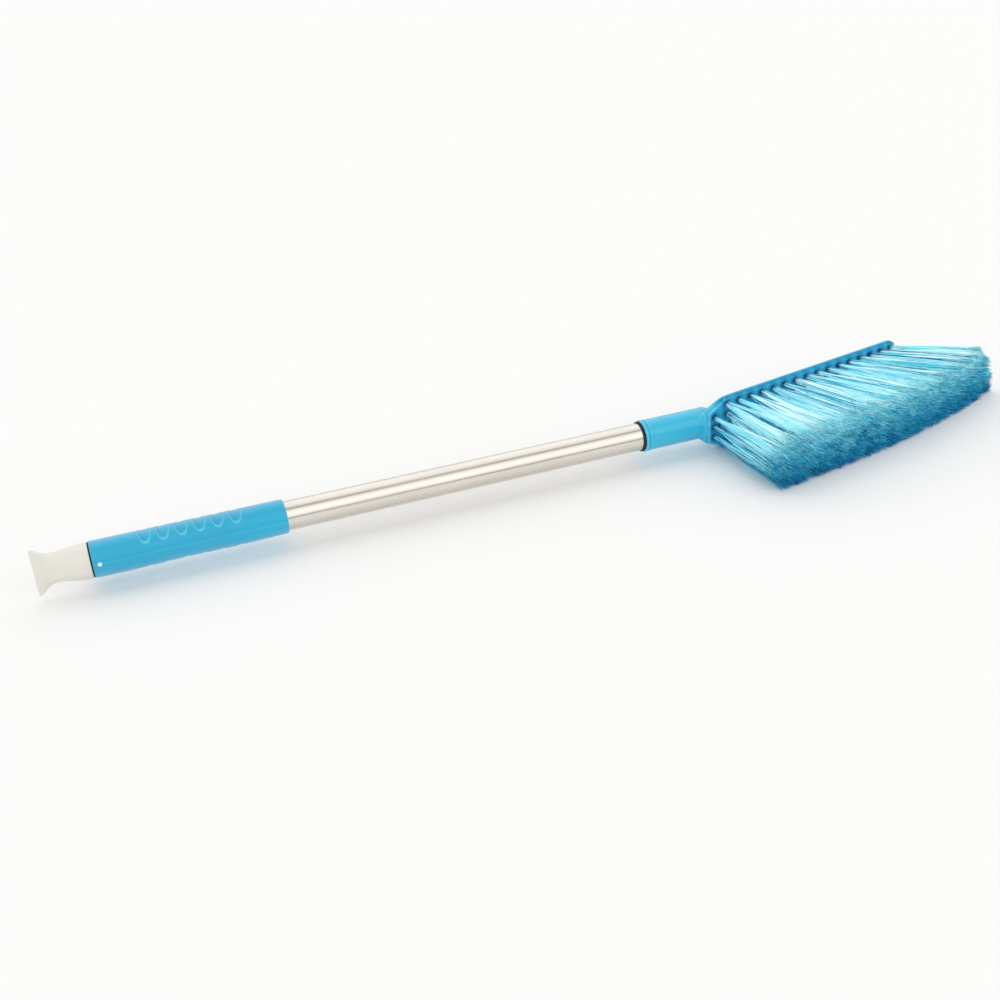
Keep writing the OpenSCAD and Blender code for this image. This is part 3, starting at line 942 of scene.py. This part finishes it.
def strand_tips(tuft, spread, rng):
    """Where strands end on the trimmed surface, and how much each is cut short to round its far corner.

    The surface's top gets a little lower towards its far end, and the rounded corner is the upper one there.
    """
    at = np.interp(tuft["outer"][0], RIM[:, 0], RIM_AT) + spread[:, 0]
    at = np.where(at < -RIM_OVER, -2 * RIM_OVER - at, at)
    last = RIM_AT[-1] + RIM_OVER
    at = np.where(at > last, 2 * last - at, at)
    tips = np.column_stack([on_rim(at), tuft["outer"][2] + spread[:, 1]])
    limit = BLOCK_HALF_W + rng.uniform(-0.8, 0.8, len(at)) * MM
    upper = limit - FAR_END_LOWER * smoothstep(at / RIM_AT[-1])
    tips[:, 2] = np.clip(tips[:, 2], np.maximum(-limit, LOWEST_Z), upper)
    near_corner = smoothstep(1 - (last - at) / CORNER_L) * smoothstep(tips[:, 2] / BLOCK_HALF_W)
    return tips, CORNER_CUT * near_corner


def strand_paths(tuft, rng):
    """Centre lines of one tuft's strands, as an array (strand, step, xyz), and each strand's wisp.

    Strands leave the hole as a cone, gathered in wisps, spread till the tufts meet, and part from their wisp
    near the trimmed surface, where they end.
    """
    count = STRANDS_PER_TUFT
    axis = tuft["outer"] - tuft["inner"]
    length = np.linalg.norm(axis)
    axis = axis / length
    fan = np.cross(axis, [0, 0, 1.0])
    fan /= np.linalg.norm(fan)
    across = np.cross(fan, axis)
    wisp = rng.integers(0, WISPS, count)
    root = rng.uniform(0, 1, WISPS)[wisp] ** 0.5 * tuft["inner_r"] * 0.8
    turn = rng.uniform(0, 2 * math.pi, WISPS)[wisp]
    shared = (rng.uniform(-1.05, 1.05, (WISPS, 2))[wisp] + rng.normal(0, 0.03, (count, 2))) * TIP_REACH
    own = 0.6 * shared + 0.45 * rng.uniform(-1, 1, (count, 2)) * TIP_REACH
    gathered = strand_tips(tuft, shared, rng)[0]
    tips, short = strand_tips(tuft, own, rng)
    roots = tuft["inner"] + (root * np.cos(turn))[:, None] * fan + (root * np.sin(turn))[:, None] * across
    roots += rng.normal(0, ROOT_JITTER, (count, 3))
    lean = gathered - roots - length * axis
    start = 1.2 * MM
    reach = length * np.clip(rng.normal(0.994, 0.009, count), 0.95, 1.006) - short
    t = np.linspace(0, 1, STRAND_STEPS)[None, :] ** 0.9
    out = start + t * (reach[:, None] - start)
    free = np.clip((out - HOLE_DEEP) / (length - HOLE_DEEP), 0, 1)
    opened = 1 - (1 - free) ** rng.uniform(1.1, 2.1, WISPS)[wisp][:, None]
    bow = rng.normal(0, WISP_BOW, (2, WISPS))[:, wisp] + rng.normal(0, STRAND_BOW, (2, count))
    bow[0] *= np.where(rng.uniform(0, 1, count) < STRAY_SHARE, STRAY_BOW, 1)
    wave = np.sin(free * math.pi)
    fray = (tips - gathered + rng.normal(0, FRAY, (count, 3)))[:, None] * free[..., None] ** 3
    points = roots[:, None] + out[..., None] * axis + opened[..., None] * lean[:, None]
    points += (bow[0][:, None] * wave)[..., None] * fan + (bow[1][:, None] * wave)[..., None] * across + fray
    points[..., 2] = np.clip(points[..., 2], LOWEST_Z, HIGHEST_Z)
    return points, wisp


def flag_paths(points, rng):
    """Split ends: finer hairs that leave each strand near its tip."""
    count = len(points)
    along = points[:, -1] - points[:, -2]
    along /= np.linalg.norm(along, axis=1, keepdims=True)
    base = points[:, -1] - along * rng.uniform(5, 14, (count, 1)) * MM
    away = rng.normal(0, 0.13, (count, 3))
    reach = np.linalg.norm(points[:, -1] - base, axis=1, keepdims=True)
    reach += rng.uniform(-2, 0.3, (count, 1)) * MM
    steps = np.linspace(0, 1, FLAG_STEPS)
    hair = np.stack([base + (along * s + away * s**1.4) * reach for s in steps], axis=1)
    hair[..., 2] = np.clip(hair[..., 2], LOWEST_Z, HIGHEST_Z)
    return hair


def hair_tubes(points, radii, strand, along):
    """Three-sided tubes round centre lines: vertices, quads, triangles and two values for each vertex."""
    count, steps = points.shape[:2]
    direction = points[:, -1] - points[:, 0]
    direction /= np.linalg.norm(direction, axis=1, keepdims=True)
    side = np.cross(direction, [0.3, 0.1, 0.95])
    side /= np.linalg.norm(side, axis=1, keepdims=True)
    other = np.cross(direction, side)
    verts = np.empty((count, steps, 3, 3))
    for k in range(3):
        a = 2 * math.pi * k / 3
        offset = side * math.cos(a) + other * math.sin(a)
        verts[:, :, k] = points + offset[:, None, :] * radii[..., None]
    index = np.arange(count * steps * 3).reshape(count, steps, 3)
    quads = []
    for k in range(3):
        m = (k + 1) % 3
        quads.append(np.stack([index[:, :-1, k], index[:, :-1, m], index[:, 1:, m], index[:, 1:, k]], -1))
    quads = np.concatenate([q.reshape(-1, 4) for q in quads])
    caps = np.concatenate([index[:, 0, ::-1], index[:, -1]])
    shade = np.repeat(strand, steps * 3)
    return verts.reshape(-1, 3), quads, caps, shade, np.repeat(along.reshape(-1), 3)


def mesh_from_arrays(name, parts):
    """One mesh from several results of hair_tubes, with their values stored as strand and along."""
    verts, quads, caps, shade, along, offset = [], [], [], [], [], 0
    for v, q, c, s, t in parts:
        verts.append(v)
        quads.append(q + offset)
        caps.append(c + offset)
        shade.append(s)
        along.append(t)
        offset += len(v)
    verts, quads, caps = (np.concatenate(x) for x in (verts, quads, caps))
    mesh = bpy.data.meshes.new(name)
    mesh.vertices.add(len(verts))
    mesh.vertices.foreach_set("co", verts.astype(np.float32).ravel())
    mesh.loops.add(quads.size + caps.size)
    mesh.loops.foreach_set("vertex_index", np.concatenate([quads.ravel(), caps.ravel()]).astype(np.int32))
    mesh.polygons.add(len(quads) + len(caps))
    starts = np.concatenate([np.arange(len(quads)) * 4, quads.size + np.arange(len(caps)) * 3])
    mesh.polygons.foreach_set("loop_start", starts.astype(np.int32))
    mesh.update(calc_edges=True)
    write_value(mesh, "strand", np.concatenate(shade))
    write_value(mesh, "along", np.concatenate(along))
    mesh.validate()
    return mesh


def build_bristles(node, seed):
    """All strands of one row of tufts, in place of its CAD cones.

    A strand's shade comes from its wisp, at random, and from how high its tuft is, as painted light from
    above.
    Its end gets painted shade, deeper low on the brush.
    """
    rng = np.random.default_rng(seed)
    parts = []
    for tuft in TUFTS[node]:
        points, wisp = strand_paths(tuft, rng)
        count = len(points)
        # Painted light from above: tufts higher on the brush are paler.
        mean = MEAN_SHADE + TOP_LIGHT_PER_M * tuft["outer"][2]
        strand = rng.normal(mean, WISP_SHADES, WISPS)[wisp] + rng.normal(0, STRAND_SHADES, count)
        strand = np.clip(strand, 0, 1)
        t = np.linspace(0, 1, STRAND_STEPS)
        # Painted shade at the tips, deeper on strands that end low on the brush.
        low_down = np.clip(0.5 - points[:, -1, 2] / (2 * BLOCK_HALF_W), 0, 1)
        fade = PAINTED_TIP_SHADE + PAINTED_TIP_SHADE_LOW * low_down
        fade = fade + rng.uniform(-0.05, 0.05, WISPS)[wisp] + rng.normal(0, 0.05, count)
        thick = rng.uniform(*STRAND_R, count)[:, None]
        radii = thick * np.interp(t, [0, 0.15, 0.7, 1], [0.7, 1, 1, 0.55])[None, :]
        parts.append(hair_tubes(points, radii, strand, np.clip(t * fade[:, None], 0, 1)))
        flags = flag_paths(points, rng)
        t = np.linspace(0, 1, FLAG_STEPS)
        radii = np.tile(FLAG_R * (1 - 0.5 * t), (count, 1))
        frayed = np.clip(0.5 * strand + rng.normal(0.25, 0.38, count), 0, 1)
        parts.append(hair_tubes(flags, radii, frayed, np.clip((0.88 + 0.12 * t) * fade[:, None], 0, 1)))
    mesh = mesh_from_arrays(node.replace("bristles", "strands"), parts)
    place(mesh.name, mesh, "head_section", BRISTLE, [node])


# ---------------------------------------------------------------- CAD nodes that stay


def finish_cad_nodes():
    """Materials for the CAD nodes that keep their own shape."""
    looks = [
        (TUBE_STEEL, ["outer_tube", "inner_tube"]),
        (ZINC, ["scraper_pin", "plug_pin", "lock_stud", "stud_nut", "tuft_staples"]),
        (BLACK, ["guide_bush", "butt_ring"]),
        (matt_plastic("grey_plastic", (0.12, 0.125, 0.13)), ["lock_plug"]),
        (matt_plastic("lock_plastic", (0.68, 0.68, 0.65)), ["lock_cone", "lock_expander"]),
    ]
    for material, names in looks:
        for name in names:
            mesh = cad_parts[name].data
            mesh.materials.clear()
            mesh.materials.append(material)


# ---------------------------------------------------------------- stage


def build_stage():
    """A plain pale floor just under the object."""
    mesh = bpy.data.meshes.new("floor")
    half = 30
    corners = [(-half, -half, 0), (half, -half, 0), (half, half, 0), (-half, half, 0)]
    mesh.from_pydata(corners, [], [(0, 1, 2, 3)])
    n = Nodes("floor")
    n.set(Base_Color=(0.9, 0.9, 0.9, 1), Roughness=0.85)
    mesh.materials.append(n.material)
    floor = bpy.data.objects.new("floor", mesh)
    floor.location.z = FLOOR_Z - 0.0002
    bpy.context.scene.collection.objects.link(floor)


# Degrees up from -Y round X, and the softbox's level there.
LIGHT_STRIPS = [
    (0, 0.15), (7, 0.22), (13, 0.62), (30, 0.78), (44, 0.8), (66, 0.62), (76, 0.24), (83, 0.24),
    (90, 0.6), (120, 0.72), (150, 0.72), (166, 0.5), (178, 0.3),
]
LIGHT_STRENGTH = 1.75
PALE_WALL = (0.56, 0.56, 0.555, 1)


def build_light():
    """Strip softboxes parallel to the pole, drawn in the world round X, with thin dark gaps between them.

    The camera itself sees a plain pale wall beyond the floor.
    """
    world = bpy.data.worlds.new("studio")
    world.use_nodes = True
    tree = world.node_tree
    split = tree.nodes.new("ShaderNodeSeparateXYZ")
    tree.links.new(tree.nodes.new("ShaderNodeTexCoord").outputs["Generated"], split.inputs[0])
    flip = tree.nodes.new("ShaderNodeMath")
    flip.operation = "MULTIPLY"
    flip.inputs[1].default_value = -1
    tree.links.new(split.outputs["Y"], flip.inputs[0])
    turn = tree.nodes.new("ShaderNodeMath")
    turn.operation = "ARCTAN2"
    tree.links.new(split.outputs["Z"], turn.inputs[0])
    tree.links.new(flip.outputs[0], turn.inputs[1])
    share = tree.nodes.new("ShaderNodeMath")
    share.operation = "DIVIDE"
    share.inputs[1].default_value = math.pi
    tree.links.new(turn.outputs[0], share.inputs[0])
    ramp = tree.nodes.new("ShaderNodeValToRGB")
    tree.links.new(share.outputs[0], ramp.inputs[0])
    while len(ramp.color_ramp.elements) < len(LIGHT_STRIPS):
        ramp.color_ramp.elements.new(0.5)
    for element, (degrees, level) in zip(ramp.color_ramp.elements, LIGHT_STRIPS, strict=True):
        element.position = degrees / 180
        element.color = (level, level * 0.995, level * 0.985, 1)
    seen = tree.nodes.new("ShaderNodeMix")
    seen.data_type = "RGBA"
    seen.inputs[7].default_value = PALE_WALL
    tree.links.new(tree.nodes.new("ShaderNodeLightPath").outputs["Is Camera Ray"], seen.inputs[0])
    tree.links.new(ramp.outputs[0], seen.inputs[6])
    background = tree.nodes["Background"]
    tree.links.new(seen.outputs[2], background.inputs["Color"])
    background.inputs["Strength"].default_value = LIGHT_STRENGTH
    bpy.context.scene.world = world


def build_camera():
    """A 45 mm view from in front and above, to the grip's side, with the horizon tipped a little."""
    heading, elevation, roll = math.radians(18.47), math.radians(28.12), math.radians(-4.15)
    level = math.cos(elevation)
    away = Vector((math.sin(heading) * level, math.cos(heading) * level, -math.sin(elevation)))
    data = bpy.data.cameras.new("camera")
    data.lens, data.sensor_width = 45, 36
    data.clip_start, data.clip_end = 0.01, 60
    camera = bpy.data.objects.new("camera", data)
    camera.rotation_mode = "QUATERNION"
    camera.rotation_quaternion = away.to_track_quat("-Z", "Y") @ Quaternion((0, 0, 1), roll)
    camera.location = (-0.12166, -0.93334, 0.49415)
    bpy.context.scene.collection.objects.link(camera)
    bpy.context.scene.camera = camera


build_scraper()
build_grip()
build_index_dot()
build_head()
build_head_screw()
for number, node_name in enumerate(BRISTLE_NODES):
    build_bristles(node_name, 100 + number)
finish_cad_nodes()
build_stage()
build_light()
build_camera()
bpy.context.scene.view_settings.view_transform = "Standard"
